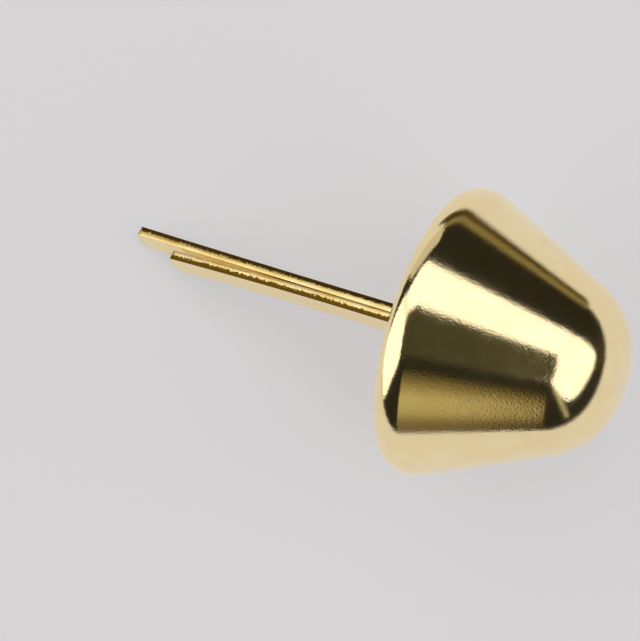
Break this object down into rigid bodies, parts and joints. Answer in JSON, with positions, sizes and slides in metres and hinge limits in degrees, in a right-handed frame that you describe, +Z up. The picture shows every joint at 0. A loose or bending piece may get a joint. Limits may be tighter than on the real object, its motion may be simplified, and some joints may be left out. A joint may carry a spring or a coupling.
{
  "type": "bag foot with split pin",
  "caption": "Hollow cone-shaped bag foot: a plated cap with a rounded nose, its rim folded over a backing plate that holds a split pin with legs to push through and spread.",
  "frame": {"origin": "on the floor under the middle of the part's box, as the loose part lies on its rim and the tip of its longer leg", "axes": "+Z up from the floor, +X from the leg tips towards the nose, +Y towards the longer leg's side"},
  "size_m": [0.028, 0.016, 0.0151],
  "materials": {
    "plated_cap": "bright gold plating with a faint orange peel",
    "plated_plate": "duller gold plating",
    "plated_wire": "gold plating on drawn half-round wire, coppery at the cut ends"
  },
  "bodies": {
    "root": {"cap": "plated_cap", "backing_plate": "plated_plate", "split_pin": "plated_wire"}
  },
  "joints": []
}
